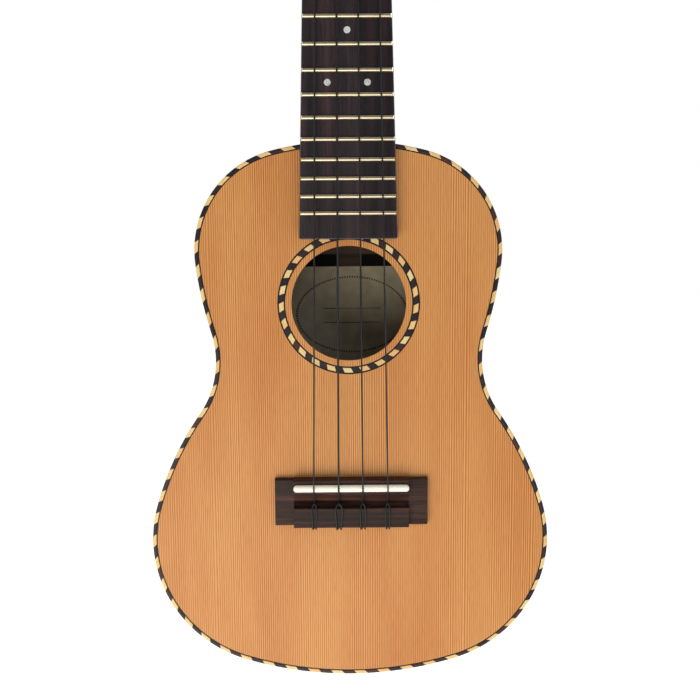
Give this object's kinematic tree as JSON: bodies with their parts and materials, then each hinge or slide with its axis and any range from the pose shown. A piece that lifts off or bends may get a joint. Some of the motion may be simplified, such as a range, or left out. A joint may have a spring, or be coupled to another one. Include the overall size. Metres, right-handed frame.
{
  "type": "concert ukulele",
  "caption": "Small waisted string instrument with a flat soundboard, round sound hole, fretted neck, tie bridge, tilted head and geared tuning machines.",
  "frame": {"origin": "on the centre line where the fingerboard meets the nut, level with the face of the soundboard: where a hanger cradles the head", "axes": "+Z along the neck towards the head, -Y out of the soundboard, +X to the treble side"},
  "size_m": [0.2012, 0.08, 0.6107],
  "materials": {
    "cedar_top": "satin lacquered straight-grained cedar",
    "body_wood": "satin lacquered dark rosewood",
    "neck_wood": "satin mahogany",
    "board_wood": "oiled dark rosewood",
    "inner_wood": "bare sawn wood inside the body",
    "rope_wood": "rope pattern of light and dark wood blocks",
    "black_line": "black dyed wood lines",
    "bone": "polished ivory-white synthetic bone",
    "pearl": "pearl inlay",
    "fret_wire": "polished nickel silver",
    "string": "black nylon",
    "nickel": "nickel plated",
    "gear_brass": "bright brass",
    "steel": "zinc plated steel",
    "button_pearl": "pearl-white moulded plastic",
    "label_paper": "plain paper with a dotted border"
  },
  "bodies": {
    "instrument": {"soundboard": "cedar_top", "back_plate": "body_wood", "side_bass": "body_wood", "side_treble": "body_wood", "neck_block": "inner_wood", "tail_block": "inner_wood", "top_linings": "inner_wood", "back_linings": "inner_wood", "top_cross_braces": "inner_wood", "fan_braces": "inner_wood", "bridge_patch": "inner_wood", "back_braces": "inner_wood", "back_centre_strip": "inner_wood", "soundhole_ring": "inner_wood", "binding_top": "rope_wood", "binding_back": "rope_wood", "purfling_lines": "black_line", "rosette_rope": "rope_wood", "end_graft": "board_wood", "label": "label_paper", "neck": "neck_wood", "headstock": "neck_wood", "headstock_veneer": "board_wood", "heel_cap": "board_wood", "fingerboard": "board_wood", "frets": "fret_wire", "position_markers": "pearl", "nut": "bone", "neck_bolt": "steel", "neck_insert": "gear_brass", "bridge": "board_wood", "saddle": "bone", "tuner_plates": "nickel", "tuner_bushings": "nickel", "tuner_plate_screws": "nickel", "string_1": "string", "string_2": "string", "string_3": "string", "string_4": "string"},
    "knob_1": {"worm_1": "nickel", "button_1": "button_pearl"},
    "post_1": {"post_1": "nickel", "gear_1": "gear_brass", "string_winding_1": "string"},
    "knob_2": {"worm_2": "nickel", "button_2": "button_pearl"},
    "post_2": {"post_2": "nickel", "gear_2": "gear_brass", "string_winding_2": "string"},
    "knob_3": {"worm_3": "nickel", "button_3": "button_pearl"},
    "post_3": {"post_3": "nickel", "gear_3": "gear_brass", "string_winding_3": "string"},
    "knob_4": {"worm_4": "nickel", "button_4": "button_pearl"},
    "post_4": {"post_4": "nickel", "gear_4": "gear_brass", "string_winding_4": "string"}
  },
  "joints": [
    {"name": "knob_turn_1", "type": "hinge", "parent": "instrument", "child": "knob_1", "pos_m": [-0.0195, 0.02381, 0.03168], "axis": [1, 0, 0], "continuous": true},
    {"name": "post_turn_1", "type": "hinge", "parent": "instrument", "child": "post_1", "pos_m": [-0.0195, 0.02531, 0.03816], "axis": [0, 0.9744, -0.225], "continuous": true},
    {"name": "knob_turn_2", "type": "hinge", "parent": "instrument", "child": "knob_2", "pos_m": [-0.0195, 0.03326, 0.0726], "axis": [1, 0, 0], "continuous": true},
    {"name": "post_turn_2", "type": "hinge", "parent": "instrument", "child": "post_2", "pos_m": [-0.0195, 0.03476, 0.07908], "axis": [0, 0.9744, -0.225], "continuous": true},
    {"name": "knob_turn_3", "type": "hinge", "parent": "instrument", "child": "knob_3", "pos_m": [0.0195, 0.03326, 0.0726], "axis": [1, 0, 0], "continuous": true},
    {"name": "post_turn_3", "type": "hinge", "parent": "instrument", "child": "post_3", "pos_m": [0.0195, 0.03476, 0.07908], "axis": [0, 0.9744, -0.225], "continuous": true},
    {"name": "knob_turn_4", "type": "hinge", "parent": "instrument", "child": "knob_4", "pos_m": [0.0195, 0.02381, 0.03168], "axis": [1, 0, 0], "continuous": true},
    {"name": "post_turn_4", "type": "hinge", "parent": "instrument", "child": "post_4", "pos_m": [0.0195, 0.02531, 0.03816], "axis": [0, 0.9744, -0.225], "continuous": true}
  ],
  "couplings": [
    {"joint": "post_turn_1", "follows": "knob_turn_1", "ratio": 0.071429},
    {"joint": "post_turn_2", "follows": "knob_turn_2", "ratio": 0.071429},
    {"joint": "post_turn_3", "follows": "knob_turn_3", "ratio": 0.071429},
    {"joint": "post_turn_4", "follows": "knob_turn_4", "ratio": 0.071429}
  ]
}
